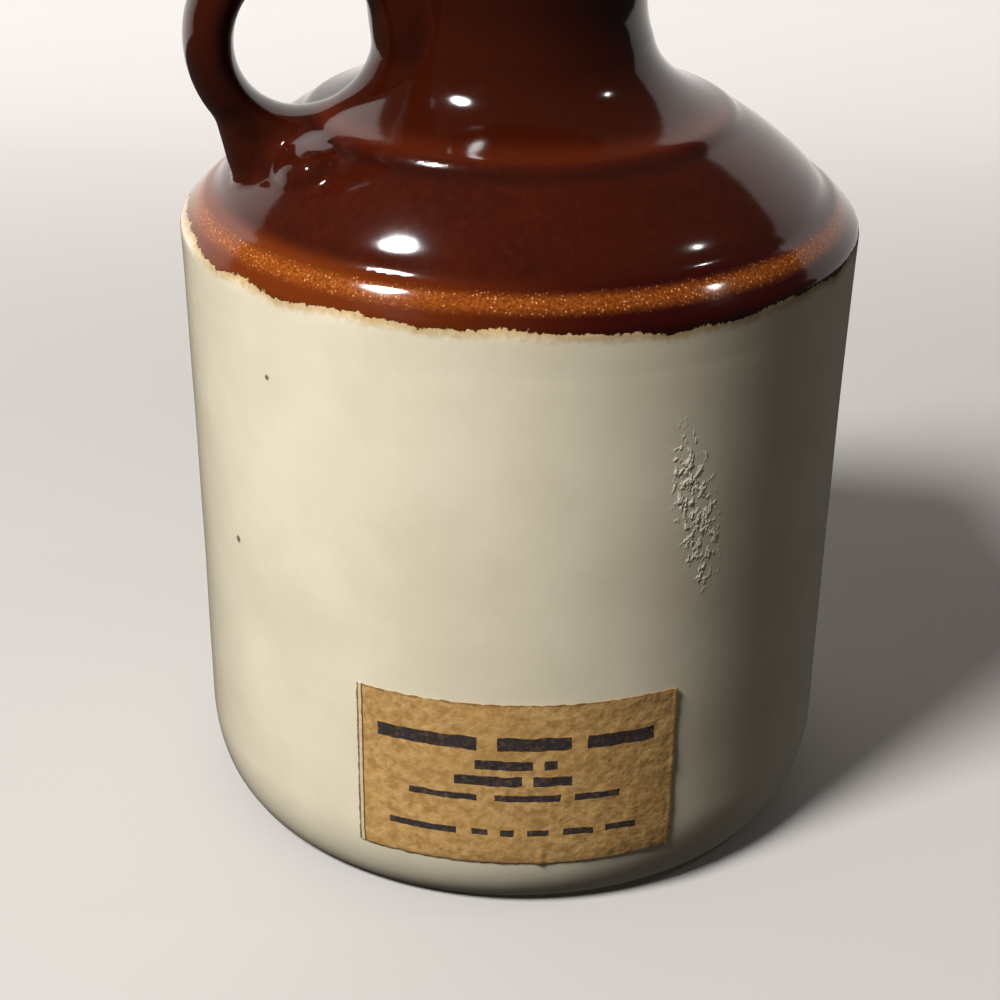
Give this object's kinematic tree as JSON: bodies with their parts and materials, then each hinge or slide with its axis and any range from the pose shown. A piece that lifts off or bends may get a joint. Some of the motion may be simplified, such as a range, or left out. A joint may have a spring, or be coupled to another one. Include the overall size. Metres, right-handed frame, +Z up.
{
  "type": "maple syrup jug",
  "caption": "Stoneware syrup jug with a stepped shoulder, narrow open neck, one-finger loop handle and a small paper label on a cream and brown glazed body.",
  "frame": {"origin": "centre of the flat base, where the jug stands on the table", "axes": "+Z up through the neck, -Y out through the front with the label, handle on the -X side turned 17 degrees toward the front"},
  "size_m": [0.092, 0.092, 0.134],
  "materials": {
    "stoneware": "cream satin glaze on the belly, brown gloss glaze on the shoulder, neck and handle",
    "paper": "matt kraft paper with dark blue print"
  },
  "bodies": {
    "root": {"jug": "stoneware", "label": "paper"}
  },
  "joints": []
}
